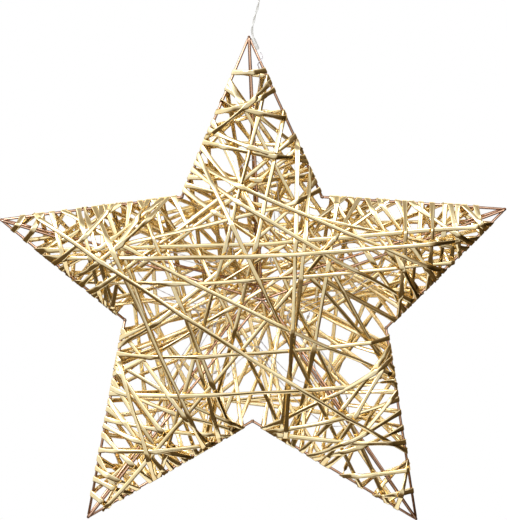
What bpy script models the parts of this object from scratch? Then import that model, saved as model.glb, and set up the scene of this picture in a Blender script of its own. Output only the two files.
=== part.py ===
"""Lighted star: a copper wire star wound all over with one thin gold tube.

Metres, +Z up. The star faces -Y and hangs by its lead from the loop at the origin.
A place on the outline is one number: 0.25 is a quarter of the way from corner 0 to corner 1.
"""
import math

import bmesh
import bpy
from mathutils import Matrix, Vector

# Frame: corners clockwise from the top tip, as (name, degrees from +X, distance from the centre)
CORNERS = (
    ("top tip", 90.6, 0.2657),
    ("upper right valley", 56.1, 0.1259),
    ("right tip", 19.6, 0.2696),
    ("right valley", -12.3, 0.1383),
    ("lower right tip", -53.7, 0.2819),
    ("bottom valley", -89.7, 0.1234),
    ("lower left tip", -126.9, 0.2757),
    ("left valley", -171.8, 0.1284),
    ("left tip", 161.3, 0.2637),
    ("upper left valley", 123.4, 0.1267),
)
WIRE_RADIUS = 0.00125
HUB = Vector((0.0080, 0.0077))  # where the ridge wires meet, from the star's centre
HUB_DEPTH = 0.038  # from the middle of the star to the front hub, and to the back one
TIP_BEND = 0.0030  # radius of the bend that takes a ridge wire over its tip
WELD_SETBACK = 0.0055  # from a tip to where its two edge wires begin
VALLEY_SETBACK = 0.0012
HUB_SETBACK = 0.0030
BEND_STEPS = 6
CLEARANCE = 0.0003

# Gold tube: the passes over the front, from one place on the outline to another
TUBE_RADIUS = 0.0016
PASS_CLEARANCE = 0.0006  # between passes that cross
WRAP_PITCH = 0.0052  # least room along an edge wire for each turn round it
TURNS_PER_NODE = 2
FRONT_PASSES = (
    (9.26, 4.34), (9.47, 4.18), (9.03, 2.93), (9.17, 2.77), (0.90, 6.87), (0.97, 7.63),
    (1.12, 6.91), (1.35, 6.73), (2.12, 7.71), (2.45, 7.40), (6.83, 3.05), (6.63, 3.26),
    (4.90, 3.37), (8.35, 3.24), (9.31, 3.22), (8.58, 5.34), (8.96, 4.78), (8.20, 3.64),
    (8.77, 5.12), (8.92, 7.41), (8.65, 7.66), (7.64, 2.24), (8.43, 7.19), (9.78, 0.21),
    (9.53, 0.33), (9.42, 0.78), (0.47, 5.31), (0.25, 5.57), (9.68, 0.70), (0.69, 7.25),
    (1.45, 2.90), (1.54, 2.81), (1.67, 2.56), (1.74, 2.45), (4.45, 3.73), (4.25, 3.85),
    (4.62, 3.52), (6.12, 5.88), (6.25, 5.70), (6.42, 5.62), (6.55, 5.45), (5.80, 6.30),
    (7.90, 8.12), (7.80, 8.22), (1.84, 2.20), (1.60, 2.66), (9.60, 0.50), (4.12, 3.70),
    (1.20, 5.90), (9.72, 3.30),
)
BACK_SPANS = (0.30, 0.16, 0.38, 0.22, 0.10)  # lengths looked for, in turn, in the passes over the back
TIP_ROOM = 0.012  # no turn round an edge wire is nearer to a tip than this
VALLEY_ROOM = 0.0078
LEAST_SLANT = 0.42  # sine of the least angle between a pass and an edge wire that it turns round
LEAST_BEND = 0.0002  # a taut pass leaves out bends that are slighter than this
MOST_SLOPE_SHARE = 2.5  # steep crossings near an edge get at most this share of a level one's height
LEAST_CROSSING = 0.02  # passes with a smaller sine between them are taken to cross at this one
SPACING_ROUNDS = 200
ORDER_ROUNDS = 3
LAYING_ROUNDS = 6

# Lead, its sleeve on the top arm's right edge, and its hanging loop
LEAD_RADIUS = 0.0012
SLEEVE_RADIUS = 0.0024
SLEEVE_LENGTH = 0.013
SLEEVE_FROM_TIP = 0.012
LEAD_POINTS = ((0.0010, 0.2671), (0.0003, 0.2738), (0.0020, 0.2845), (0.0050, 0.2999), (0.0055, 0.3090))
KNOT_RADIUS = 0.0036
LOOP_RADIUS = 0.0070
LOOP_HEIGHT = 0.030
LOOP_GAP = 100  # degrees of the loop's circle left open towards the knot
LOOP_STEPS = 16
LOOP_TOP = (0.0045, 0.3556)  # the loop's inner top, seen from the star's centre

# Light string
STRING_RADIUS = 0.0005
BULB_RADIUS = 0.0017
BULB_LENGTH = 0.0040
BULB_COUNT = 32
STRING_STEPS = 160
STRING_TURNS = 2.7
STRING_START = 0.05  # radians past the top arm's middle, where the turns begin
STRING_SHRINK = 0.16  # share by which each turn is smaller than the one before
STRING_REACH = 0.170  # how far it goes into an arm
STRING_WAIST = 0.062  # how near it comes to the centre between the arms

# Calculation
TINY = 1e-9
END_SHARE = 0.01  # a pass may meet the outline this near its ends, as a share of its length
AWAY = Vector((1.0, 0.0003))  # out of the star, along a line that meets no corner
TOP_RIGHT_EDGE = 0.5  # any place on the edge wire from the top tip to the upper right valley
SHARP_FROM = 40  # degrees

# Seats of one piece on another
ACROSS_RIDGE = WIRE_RADIUS + TUBE_RADIUS + PASS_CLEARANCE
ROUND_EDGE = ACROSS_RIDGE / math.cos(math.radians(45))
ACROSS_PASS = 2 * TUBE_RADIUS + PASS_CLEARANCE


def clear_scene():
    for item in list(bpy.data.objects):
        bpy.data.objects.remove(item, do_unlink=True)


def make_material(name, colour, roughness, metallic):
    material = bpy.data.materials.new(name)
    material.use_nodes = True
    shader = material.node_tree.nodes["Principled BSDF"]
    shader.inputs["Base Color"].default_value = (*colour, 1)
    shader.inputs["Roughness"].default_value = roughness
    shader.inputs["Metallic"].default_value = metallic
    return material


def in_star(x, z, y=0.0):
    """A point given from the star's centre, in the part's frame."""
    return Vector((x - LOOP_TOP[0], y, z - LOOP_TOP[1]))


def add_tube(name, points, radius, material, resolution, swell=None):
    """A round bar along the points; swell gives each point's share of the radius."""
    curve = bpy.data.curves.new(name, "CURVE")
    curve.dimensions = "3D"
    curve.bevel_depth = radius
    curve.bevel_resolution = resolution
    curve.use_fill_caps = True
    spline = curve.splines.new("POLY")
    spline.points.add(len(points) - 1)
    for number, point in enumerate(points):
        spline.points[number].co = (*point, 1)
        if swell:
            spline.points[number].radius = swell[number]
    curve.materials.append(material)
    item = bpy.data.objects.new(name, curve)
    bpy.context.collection.objects.link(item)
    return item


def add_mesh(name, form, material):
    mesh = bpy.data.meshes.new(name)
    form.to_mesh(mesh)
    form.free()
    mesh.shade_smooth()
    mesh.set_sharp_from_angle(angle=math.radians(SHARP_FROM))
    mesh.materials.append(material)
    item = bpy.data.objects.new(name, mesh)
    bpy.context.collection.objects.link(item)
    return item


def smooth_route(points, per_span):
    """Points read from a smooth curve through the given ones."""
    route = []
    ends = [points[0] * 2 - points[1]] + list(points) + [points[-1] * 2 - points[-2]]
    for before, start, end, after in zip(ends, ends[1:], ends[2:], ends[3:]):
        for step in range(per_span):
            t = step / per_span
            route.append(0.5 * (
                2 * start + (end - before) * t
                + (2 * before - 5 * start + 4 * end - after) * t ** 2
                + (3 * start - before - 3 * end + after) * t ** 3
            ))
    route.append(points[-1])
    return route


# Outline


def corner(number):
    name, degrees, distance = CORNERS[number % len(CORNERS)]
    angle = math.radians(degrees)
    return Vector((distance * math.cos(angle), distance * math.sin(angle)))


def place(along):
    first, second = corner(int(along)), corner(int(along) + 1)
    return first.lerp(second, along - int(along))


def outward(along):
    """Unit vector out of the star, square to the edge wire at this place."""
    run = (corner(int(along) + 1) - corner(int(along))).normalized()
    return Vector((-run.y, run.x))


def crossing(start, end, first, second):
    """Shares along start-end and along first-second where the two lines cross."""
    run, other, offset = end - start, second - first, first - start
    det = run.cross(other)
    if abs(det) < TINY ** 2:
        return None
    return offset.cross(other) / det, offset.cross(run) / det


def stays_inside(start_along, end_along):
    """Whether a straight pass between two places keeps within the outline and off its valleys."""
    start, end = place(start_along), place(end_along)
    run = (end - start).normalized()
    for along in (start_along, end_along):
        if abs(run.dot(outward(along))) < LEAST_SLANT:
            return False
    own = {int(along) + step for along in (start_along, end_along) for step in (0, 1)}
    for number in range(1, len(CORNERS), 2):
        offset = corner(number) - start
        beside = 0 < offset.dot(run) < (end - start).length
        if number not in own and beside and abs(offset.cross(run)) < VALLEY_ROOM:
            return False
    middle = (start + end) / 2
    walls = 0
    for number in range(len(CORNERS)):
        wall = corner(number), corner(number + 1)
        met = crossing(start, end, *wall)
        if met and END_SHARE < met[0] < 1 - END_SHARE and 0 <= met[1] <= 1:
            return False
        met = crossing(middle, middle + AWAY, *wall)
        if met and met[0] > 0 and 0 <= met[1] < 1:
            walls += 1
    return walls % 2 == 1


# Frame wires


def add_edge_wires(material):
    for number in range(len(CORNERS)):
        start, end = corner(number), corner(number + 1)
        run = (end - start).normalized()
        at_tip = number % 2 == 0
        start = start + run * (WELD_SETBACK if at_tip else VALLEY_SETBACK)
        end = end - run * (VALLEY_SETBACK if at_tip else WELD_SETBACK)
        name = "edge_wire_" + str(number + 1)
        add_tube(name, [in_star(*start), in_star(*end)], WIRE_RADIUS, material, 2)


def ridge_depth(share):
    """Depth of a ridge wire's middle, this share of the way from hub to tip."""
    return HUB_DEPTH + (TIP_BEND - HUB_DEPTH) * share


def add_ridge_wires(material):
    for number in range(0, len(CORNERS), 2):
        tip = corner(number)
        run = (tip - HUB).normalized()
        centre = tip - run * TIP_BEND
        reach = (centre - HUB).length
        start = HUB + run * HUB_SETBACK
        route = [in_star(*start, -ridge_depth(HUB_SETBACK / reach))]
        for step in range(BEND_STEPS + 1):
            angle = math.pi * (step / BEND_STEPS - 0.5)
            at = centre + run * TIP_BEND * math.cos(angle)
            route.append(in_star(*at, TIP_BEND * math.sin(angle)))
        route.append(in_star(*start, ridge_depth(HUB_SETBACK / reach)))
        add_tube("ridge_wire_" + str(number // 2 + 1), route, WIRE_RADIUS, material, 2)


# Gold tube


def spaced_places(places):
    """Moves places along their edge wires until each turn round the wire has its own room."""
    places = list(places)
    for edge in range(len(CORNERS)):
        length = (corner(edge + 1) - corner(edge)).length
        own = sorted((n for n, at in enumerate(places) if int(at) == edge), key=lambda n: places[n])
        rooms = (TIP_ROOM, VALLEY_ROOM) if edge % 2 == 0 else (VALLEY_ROOM, TIP_ROOM)
        low = edge + rooms[0] / length
        high = edge + 1 - rooms[1] / length
        pitch = min(WRAP_PITCH / length, (high - low) / max(len(own) - 1, 1))
        for turn in range(SPACING_ROUNDS):
            for one, two in zip(own, own[1:]):
                short = max(pitch - (places[two] - places[one]), 0)
                places[one] -= short / 2
                places[two] += short / 2
            for number in own:
                places[number] = min(max(places[number], low), high)
    return places


def back_miss(start, end, turn):
    """How far a pass over the back is from the length looked for, or None where it can't run."""
    if int(start) == int(end) or not stays_inside(start, end):
        return None
    return abs((place(end) - place(start)).length - BACK_SPANS[turn % len(BACK_SPANS)])


def winding_order(passes):
    """The front passes in turn, each turned so that a pass over the back leads to the next.

    Each is put in where the passes over the back that it needs come nearest to the lengths
    looked for. One that can't be reached yet waits for the next round.
    """
    order, waiting = [passes[0]], list(passes[1:])
    for turn in range(ORDER_ROUNDS):
        for ends in list(waiting):
            choices = []
            for spot in range(len(order) + 1):
                for start, end in (ends, ends[::-1]):
                    misses = []
                    if spot > 0:
                        misses.append(back_miss(order[spot - 1][1], start, len(order)))
                    if spot < len(order):
                        misses.append(back_miss(end, order[spot][0], len(order) + 1))
                    if None not in misses:
                        choices.append((sum(misses) / len(misses), spot, start, end))
            if choices:
                miss, spot, start, end = min(choices)
                order.insert(spot, (start, end))
                waiting.remove(ends)
    return order


def height_at(profile, distance):
    distance = max(distance, 0)
    for before, after in zip(profile, profile[1:]):
        if distance <= after[0]:
            share = (distance - before[0]) / max(after[0] - before[0], TINY)
            return before[1] + (after[1] - before[1]) * share
    return profile[-1][1]


def rises_at(profile, distance):
    """Slopes of a profile just before and just after this distance."""
    probe = TUBE_RADIUS / 2
    here = height_at(profile, distance)
    before = (here - height_at(profile, distance - probe)) / probe
    after = (height_at(profile, distance + probe) - here) / probe
    return before, after


def slope_share(run, under_run, own_rises, under_rises):
    """How much more height two sloping passes need than two level ones, where they cross."""
    sine, cosine = abs(run.cross(under_run)), run.dot(under_run)
    worst = 0.0
    for own in own_rises:
        for under in under_rises:
            worst = max(worst, own ** 2 + under ** 2 - 2 * own * under * cosine)
    return min(math.sqrt(1 + worst / max(sine, LEAST_CROSSING) ** 2), MOST_SLOPE_SHARE)


def ridge_needs(start, end):
    """What a pass has to clear where it crosses the ridge wires, as (distance along it, height)."""
    needs = []
    for number in range(0, len(CORNERS), 2):
        met = crossing(start, end, HUB, corner(number))
        if met and 0 < met[0] < 1 and 0 < met[1] < 1:
            needs.append((met[0] * (end - start).length, ridge_depth(met[1]) + ACROSS_RIDGE))
    return needs


def pass_needs(start, end, own_profile, under):
    """What a pass has to clear where it crosses one that was laid before it."""
    first, second, profile = under
    met = crossing(start, end, first, second)
    if met is None:
        return []
    length, other = (end - start).length, (second - first).length
    run, under_run = (end - start) / length, (second - first) / other
    reach = ACROSS_PASS / max(abs(run.cross(under_run)), LEAST_CROSSING)
    needs = []
    for step in range(-2, 3):
        distance = min(max(met[0] * length + reach * step / 2, 0), length)
        at = start + run * distance
        along = (at - first).dot(under_run)
        if not -ACROSS_PASS < along < other + ACROSS_PASS:
            continue
        along = min(max(along, 0), other)
        aside = (at - first - under_run * along).length
        if aside < ACROSS_PASS:
            above = math.sqrt(ACROSS_PASS ** 2 - aside ** 2)
            if step == 0:
                rises = rises_at(own_profile, distance), rises_at(profile, along)
                above = ACROSS_PASS * slope_share(run, under_run, *rises)
            needs.append((distance, height_at(profile, along) + above))
    return needs


def tight_over(needs):
    """The taut line over the needs: straight between the things it bears on."""
    profile = []
    for distance, height in sorted(needs):
        if profile and distance - profile[-1][0] < TINY:
            height = max(height, profile.pop()[1])
        while len(profile) > 1:
            before, last = profile[-2], profile[-1]
            rise = (height - before[1]) / (distance - before[0])
            if last[1] > before[1] + rise * (last[0] - before[0]):
                break
            profile.pop()
        profile.append((distance, height))
    return profile


def without_slight_bends(profile):
    kept = [profile[0]]
    for point, after in zip(profile[1:], profile[2:]):
        rise = (after[1] - kept[-1][1]) / (after[0] - kept[-1][0])
        if point[1] - kept[-1][1] - rise * (point[0] - kept[-1][0]) > LEAST_BEND:
            kept.append(point)
    return kept + [profile[-1]]


def taut_profile(start, end, laid):
    """Heights of a taut pass over the ridges and the passes under it, as (distance, height)."""
    length = (end - start).length
    bare = [(0.0, ROUND_EDGE), (length, ROUND_EDGE)] + ridge_needs(start, end)
    profile = tight_over(bare)
    for turn in range(LAYING_ROUNDS):
        needs = list(bare)
        for under in laid:
            needs += pass_needs(start, end, profile, under)
        profile = tight_over(needs)
    return without_slight_bends(profile)


def lay_side(passes):
    """Lays one side's passes on each other in turn."""
    laid = []
    for start, end in passes:
        first, second = place(start), place(end)
        laid.append((first, second, taut_profile(first, second, laid)))
    return laid


def pass_points(laid, side):
    first, second, profile = laid
    run = (second - first).normalized()
    return [in_star(*(first + run * distance), side * height) for distance, height in profile]


def wrap_point(along, step):
    """The outermost point of a turn round an edge wire, moved by step along Y."""
    at = place(along) + outward(along) * ROUND_EDGE
    return in_star(*at, step)


def add_gold_tube(material):
    """The tube's turns, one after another, parted into nodes where it goes round the frame."""
    flat = spaced_places(along for ends in FRONT_PASSES for along in ends)
    order = winding_order(list(zip(flat[::2], flat[1::2])))
    fronts = lay_side(order)
    backs = lay_side([(one[1], two[0]) for one, two in zip(order, order[1:])])
    straight = TUBE_RADIUS / 2
    for first in range(0, len(backs), TURNS_PER_NODE):
        last = min(first + TURNS_PER_NODE, len(backs))
        start = order[first][0]
        points = [wrap_point(start, CLEARANCE / -2), wrap_point(start, CLEARANCE / -2 - straight)]
        for number in range(first, last):
            points += pass_points(fronts[number], -1)
            points.append(wrap_point(order[number][1], 0))
            points += pass_points(backs[number], 1)
            points.append(wrap_point(order[number + 1][0], 0))
        points.pop()
        end = order[last][0]
        points += [wrap_point(end, CLEARANCE / 2 + straight), wrap_point(end, CLEARANCE / 2)]
        name = "gold_tube_" + str(first // TURNS_PER_NODE + 1).zfill(2)
        add_tube(name, points, TUBE_RADIUS, material, 0)
    points = [wrap_point(order[-1][0], CLEARANCE / -2), wrap_point(order[-1][0], CLEARANCE / -2 - straight)]
    points += pass_points(fronts[-1], -1) + [wrap_point(order[-1][1], 0)]
    add_tube("gold_tube_end", points, TUBE_RADIUS, material, 0)


# Lead, sleeve and loop


def sleeve_frame():
    """Middle of the sleeve and the way it points, beside the top arm's right edge wire."""
    tip = corner(0)
    along = (tip - corner(1)).normalized()
    aside = outward(TOP_RIGHT_EDGE) * (WIRE_RADIUS + CLEARANCE + SLEEVE_RADIUS)
    return tip - along * SLEEVE_FROM_TIP + aside, along


def add_sleeve(material):
    middle, along = sleeve_frame()
    form = bmesh.new()
    turn = Vector((0, 0, 1)).rotation_difference(Vector((along.x, 0, along.y))).to_matrix().to_4x4()
    bmesh.ops.create_cone(
        form, cap_ends=True, segments=12, radius1=SLEEVE_RADIUS, radius2=SLEEVE_RADIUS,
        depth=SLEEVE_LENGTH, matrix=Matrix.Translation(in_star(*middle)) @ turn,
    )
    add_mesh("lead_sleeve", form, material)


def add_lead(material):
    middle, along = sleeve_frame()
    start = middle + along * (SLEEVE_LENGTH / 2 + CLEARANCE)
    knot_bottom = -LOOP_HEIGHT - 2 * KNOT_RADIUS - 2 * CLEARANCE
    ways = [in_star(*start)] + [in_star(*at) for at in LEAD_POINTS] + [Vector((0, 0, knot_bottom))]
    add_tube("lead", smooth_route(ways, 2), LEAD_RADIUS, material, 2)


def add_knot(material):
    form = bmesh.new()
    middle = Vector((0, 0, -LOOP_HEIGHT - KNOT_RADIUS - CLEARANCE))
    bmesh.ops.create_icosphere(form, subdivisions=2, radius=KNOT_RADIUS, matrix=Matrix.Translation(middle))
    add_mesh("lead_knot", form, material)


def add_loop(material):
    """A round eye on two legs that come out of the knot side by side."""
    leg = LEAD_RADIUS + CLEARANCE
    centre = LEAD_RADIUS - LOOP_RADIUS
    points = [Vector((leg, 0, -LOOP_HEIGHT))]
    for step in range(LOOP_STEPS + 1):
        angle = math.radians(LOOP_GAP / 2 - 90 + (360 - LOOP_GAP) * step / LOOP_STEPS)
        points.append(Vector((LOOP_RADIUS * math.cos(angle), 0, centre + LOOP_RADIUS * math.sin(angle))))
    points.append(Vector((-leg, 0, -LOOP_HEIGHT)))
    add_tube("hanging_loop", points, LEAD_RADIUS, material, 2)


# Light string


def string_entry():
    """The way in: down beside the sleeve, over the edge wire and into the top arm."""
    middle, along = sleeve_frame()
    start = middle - along * (SLEEVE_LENGTH / 2 + CLEARANCE)
    over = WIRE_RADIUS + STRING_RADIUS + 2 * CLEARANCE
    down = start - along * 2 * SLEEVE_RADIUS
    inside = down - outward(TOP_RIGHT_EDGE) * 2 * (WIRE_RADIUS + SLEEVE_RADIUS) - along * 2 * SLEEVE_RADIUS
    last = inside - outward(TOP_RIGHT_EDGE) * SLEEVE_RADIUS - along * 4 * SLEEVE_RADIUS
    return [in_star(*start), in_star(*down, -over), in_star(*inside, -over), in_star(*last)]


def string_round():
    """Round the star's middle plane, far out along each arm and near the centre in between."""
    points = []
    for step in range(STRING_STEPS + 1):
        turn = STRING_TURNS * step / STRING_STEPS
        angle = math.pi / 2 - 2 * math.pi * turn - STRING_START
        wave = (1 + math.cos(5 * (angle - math.pi / 2))) / 2
        reach = STRING_WAIST + (STRING_REACH - STRING_WAIST) * wave ** 2
        reach *= 1 - STRING_SHRINK * turn
        points.append(in_star(reach * math.cos(angle), reach * math.sin(angle)))
    return points


def add_light_string(material):
    """Fine wire that swells at each bulb."""
    points = string_entry()
    sizes = [1.0] * len(points)
    route = string_round()
    every = STRING_STEPS // BULB_COUNT
    swell = BULB_RADIUS / STRING_RADIUS
    for number, point in enumerate(route):
        if number % every != every // 2:
            points.append(point)
            sizes.append(1.0)
            continue
        way = (route[number + 1] - route[number - 1]).normalized() * BULB_LENGTH
        points += [point + way * share for share in (-0.5, -0.25, 0.25, 0.5)]
        sizes += [1.0, swell, swell, 1.0]
    add_tube("light_string", points, STRING_RADIUS, material, 0, sizes)


def main():
    clear_scene()
    copper = make_material("copper wire", (0.60, 0.33, 0.22), 0.3, 1.0)
    gold = make_material("gold tube", (0.72, 0.55, 0.28), 0.25, 1.0)
    clear = make_material("clear plastic", (0.80, 0.80, 0.78), 0.2, 0.0)
    silver = make_material("silver wire", (0.75, 0.75, 0.72), 0.3, 1.0)
    add_edge_wires(copper)
    add_ridge_wires(copper)
    add_gold_tube(gold)
    add_sleeve(clear)
    add_lead(clear)
    add_knot(clear)
    add_loop(clear)
    add_light_string(silver)


main()
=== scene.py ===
"""Finished pieces of a hanging wire star, wound with thin gold tube, with a fine light string and resin
bulbs inside.

Lengths are in metres. The star hangs from the origin, its front faces -Y and +Z is up.
"""

import math
import random

import bmesh
import bpy
from mathutils import Matrix, Vector, noise
from mathutils.geometry import intersect_line_line_2d


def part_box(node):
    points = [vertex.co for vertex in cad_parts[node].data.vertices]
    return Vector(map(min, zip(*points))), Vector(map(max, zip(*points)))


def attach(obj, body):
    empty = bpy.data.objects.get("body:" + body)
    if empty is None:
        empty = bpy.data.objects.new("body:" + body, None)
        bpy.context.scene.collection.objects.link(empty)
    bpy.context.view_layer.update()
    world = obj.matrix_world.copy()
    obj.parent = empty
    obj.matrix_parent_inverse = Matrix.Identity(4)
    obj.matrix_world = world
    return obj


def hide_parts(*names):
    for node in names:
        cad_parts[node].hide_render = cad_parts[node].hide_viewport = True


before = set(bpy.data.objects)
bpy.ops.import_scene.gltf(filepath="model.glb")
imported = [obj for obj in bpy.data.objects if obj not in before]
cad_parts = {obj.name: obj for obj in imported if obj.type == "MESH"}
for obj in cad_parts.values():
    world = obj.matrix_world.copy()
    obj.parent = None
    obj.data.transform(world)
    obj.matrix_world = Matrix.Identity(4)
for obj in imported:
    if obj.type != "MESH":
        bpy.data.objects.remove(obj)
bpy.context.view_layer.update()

bl_info = {
    "name": "Wound wire star",
    "version": (1, 0, 0),
    "blender": (4, 5, 0),
    "location": "View3D > Sidebar > Star",
    "description": "Makes the finished pieces of a hanging wire star wound with gold tube",
    "category": "Object",
}

# The solids: the star's middle, their nodes and how many sides their bars have
STAR_MIDDLE = Vector((-0.0045, 0.0, -0.3556))
EDGE_NODES = [f"edge_wire_{n}" for n in range(1, 11)]
RIDGE_NODES = [f"ridge_wire_{n}" for n in range(1, 6)]
TUBE_NODES = [f"gold_tube_{n:02d}" for n in range(1, 26)] + ["gold_tube_end"]
WIRE_NODE_SIDES = 8
TUBE_NODE_SIDES = 4
SLEEVE_NODE_SIDES = 12
SAME_PLANE = 0.99999  # faces whose ways out agree this closely lie in one plane
MERGE_DISTANCE = 1e-6

# The lead's route, from under the sleeve to just below the knot
LEAD_ROUTE = (
    (-0.00154, 0.0, -0.09302),
    (-0.0035, 0.0, -0.0885),
    (-0.0042, 0.0, -0.0818),
    (-0.0019, 0.0, -0.0711),
    (0.0012, 0.0, -0.0605),
    (0.0025, 0.0, -0.0540),
    (0.0023, 0.0, -0.0466),
    (0.0, 0.0, -0.0378),
)


def length_of(name, what, size):
    return bpy.props.FloatProperty(name=name, description=what, default=size, unit="LENGTH", precision=4)


def colour_of(name, what, colour):
    return bpy.props.FloatVectorProperty(
        name=name, description=what, default=colour, subtype="COLOR", size=3, min=0.0, max=1.0
    )


def share_of(name, what, share):
    return bpy.props.FloatProperty(
        name=name, description=what, default=share, subtype="FACTOR", min=0.0, max=1.0
    )


def angle_of(name, what, degrees):
    return bpy.props.FloatProperty(
        name=name, description=what, default=math.radians(degrees), subtype="ANGLE", unit="ROTATION"
    )


class StarWires(bpy.types.PropertyGroup):
    """Sizes and colour of the welded wire frame."""

    radius: length_of("Wire radius", "Half the thickness of the frame's wire", 0.00138)
    hub_overlap: length_of("Hub overlap", "How far a ridge wire's end runs past the hub", 0.0050)
    tip_reach: length_of("Tip reach", "How far an edge wire runs on to meet the wire at the tip", 0.0034)
    bead: length_of("Bead radius", "Radius of a weld bead", 0.0017)
    colour: colour_of("Copper", "Colour of the rose copper plating", (0.74, 0.49, 0.36))
    roughness: share_of("Roughness", "How dull the plating is", 0.16)


class StarTube(bpy.types.PropertyGroup):
    """Sizes and colour of the gold tube."""

    width: length_of("Width", "Width of the tube in its free lengths", 0.0040)
    thickness: length_of("Thickness", "Thickness of the tube in its free lengths", 0.0020)
    flat_width: length_of("Flat width", "Width of the tube where it is pressed flat over a wire", 0.0058)
    flat_thickness: length_of("Flat thickness", "Thickness of the tube where it is pressed flat", 0.0010)
    colour: colour_of("Gold", "Colour of the metallised plastic", (0.97, 0.83, 0.53))
    roughness: share_of("Roughness", "How dull the plastic is", 0.07)
    seed: bpy.props.IntProperty(name="Seed", description="Picks the tube's small waves", default=7)


class StarString(bpy.types.PropertyGroup):
    """Sizes and colour of the light string."""

    strand: length_of("Strand radius", "Half the thickness of one strand of the string", 0.00028)
    twist: length_of("Twist length", "Length of one full twist of the two strands", 0.014)
    bulb: length_of("Bulb radius", "Half the width of a resin bulb", 0.0016)
    colour: colour_of("Wire", "Colour of the lacquered wire", (0.74, 0.72, 0.74))


class StarLead(bpy.types.PropertyGroup):
    """Sizes of the clear lead, its sleeve, knot and loop."""

    diameter: length_of("Diameter", "Width over the lead's two strands", 0.0024)
    twist: length_of("Twist length", "Length of one full twist of the two strands", 0.024)
    colour: colour_of("Sheath", "Colour of the clear sheath", (0.94, 0.95, 0.93))


class StarStage(bpy.types.PropertyGroup):
    """Camera, floor and light."""

    azimuth: angle_of("Azimuth", "How far the camera stands to the left", 3.31)
    elevation: angle_of("Elevation", "How far the camera stands above the star", 10.18)
    distance: length_of("Distance", "From the camera to the star", 4.0)
    view_height: length_of("View height", "Height of the view at the star", 0.520)
    floor_depth: length_of("Floor depth", "How far the floor lies under the origin", 1.9)
    floor_size: length_of("Floor size", "Side of the floor", 1.4)
    floor_colour: colour_of("Floor", "Colour of the pale floor", (0.82, 0.81, 0.79))


GROUPS = {
    "star_wires": StarWires,
    "star_tube": StarTube,
    "star_string": StarString,
    "star_lead": StarLead,
    "star_stage": StarStage,
}


# Lines


def rings_from(cap):
    """Rings of corners of a tube's mesh, counted on from the corners of one end.

    Each ring is in the mesh's own order, because a sum in another order is rounded another way.
    """
    rings, seen, ring = [], set(cap), set(cap)
    while ring:
        rings.append(sorted(ring, key=lambda corner: corner.index))
        ring = {edge.other_vert(corner) for corner in ring for edge in corner.link_edges} - seen
        seen |= ring
    return rings


def flat_patch(face):
    """Corners of the flat patch of faces that a face belongs to."""
    patch, waiting = {face}, [face]
    while waiting:
        for edge in waiting.pop().edges:
            for other in edge.link_faces:
                if other not in patch and other.normal.dot(face.normal) > SAME_PLANE:
                    patch.add(other)
                    waiting.append(other)
    return {corner for member in patch for corner in member.verts}


def node_rings(node, sides):
    """Middle and radius of each ring of a tube-like node, from one end to the other."""
    mesh = bmesh.new()
    mesh.from_mesh(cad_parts[node].data)
    bmesh.ops.remove_doubles(mesh, verts=mesh.verts, dist=MERGE_DISTANCE)
    mesh.verts.index_update()
    mesh.normal_update()
    for face in mesh.faces:
        cap = flat_patch(face)
        if len(cap) != sides:
            continue
        rings = rings_from(cap)
        if len(rings) > 1 and all(len(ring) == sides for ring in rings):
            middles = [sum((corner.co for corner in ring), Vector()) / sides for ring in rings]
            widest = [max((c.co - m).length for c in ring) for ring, m in zip(rings, middles)]
            mesh.free()
            return middles, widest
    raise ValueError(f"{node} is not a tube of {sides} sides")


def node_line(node, sides):
    return node_rings(node, sides)[0]


def distances(line):
    """Distance of each point of a line from its start, along the line."""
    places = [0.0]
    for a, b in zip(line, line[1:]):
        places.append(places[-1] + (b - a).length)
    return places


def curved(points, steps):
    """A smooth line through points, with that many steps between each two."""
    points = [Vector(point) for point in points]
    first = points[0] * 2 - points[1]
    last = points[-1] * 2 - points[-2]
    held = [first] + points + [last]
    line = []
    for before, a, b, after in zip(held, held[1:], held[2:], held[3:]):
        lean_a, lean_b = (b - before) / 2, (after - a) / 2
        for step in range(steps):
            t = step / steps
            line.append(
                a * (2 * t**3 - 3 * t**2 + 1)
                + lean_a * (t**3 - 2 * t**2 + t)
                + b * (3 * t**2 - 2 * t**3)
                + lean_b * (t**3 - t**2)
            )
    return line + [points[-1]]


def carried_sides(line):
    """Two directions across the line at each point, carried along it with no twist."""
    runs = [(b - a).normalized() for a, b in zip(line, line[1:])]
    runs.append(runs[-1])
    side = runs[0].orthogonal().normalized()
    sides = []
    for index, run in enumerate(runs):
        lean = (runs[index - 1] + run).normalized() if index else run
        side = (side - lean * side.dot(lean)).normalized()
        sides.append((side.copy(), lean.cross(side)))
    return sides


def twisted(line, reach, turn_length, phase):
    """A strand that winds round a line at a distance of reach."""
    strand = []
    for point, place, (side, across) in zip(line, distances(line), carried_sides(line)):
        angle = place / turn_length * math.tau + phase
        strand.append(point + (side * math.cos(angle) + across * math.sin(angle)) * reach)
    return strand


# Shapes


def turned_out(mesh):
    """Close a mesh's open ends and turn its faces outwards."""
    shape = bmesh.new()
    shape.from_mesh(mesh)
    bmesh.ops.holes_fill(shape, edges=[edge for edge in shape.edges if edge.is_boundary], sides=0)
    bmesh.ops.recalc_face_normals(shape, faces=shape.faces)
    shape.to_mesh(mesh)
    shape.free()
    return mesh


def swept(name, lines, radius, sides):
    """A round tube along each line, as one mesh whose corners stand in rings."""
    curve = bpy.data.curves.new(name, "CURVE")
    curve.dimensions = "3D"
    curve.bevel_depth = radius
    curve.bevel_resolution = (sides - 4) // 2
    curve.fill_mode = "FULL"
    curve.twist_mode = "MINIMUM"
    for line in lines:
        spline = curve.splines.new("POLY")
        spline.points.add(len(line) - 1)
        for held, point in zip(spline.points, line):
            held.co = (*point, 1.0)
    maker = bpy.data.objects.new(name + "_line", curve)
    bpy.context.scene.collection.objects.link(maker)
    seen = maker.evaluated_get(bpy.context.evaluated_depsgraph_get())
    mesh = bpy.data.meshes.new_from_object(seen)
    mesh.name = name
    bpy.data.objects.remove(maker)
    bpy.data.curves.remove(curve)
    return turned_out(mesh)


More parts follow.
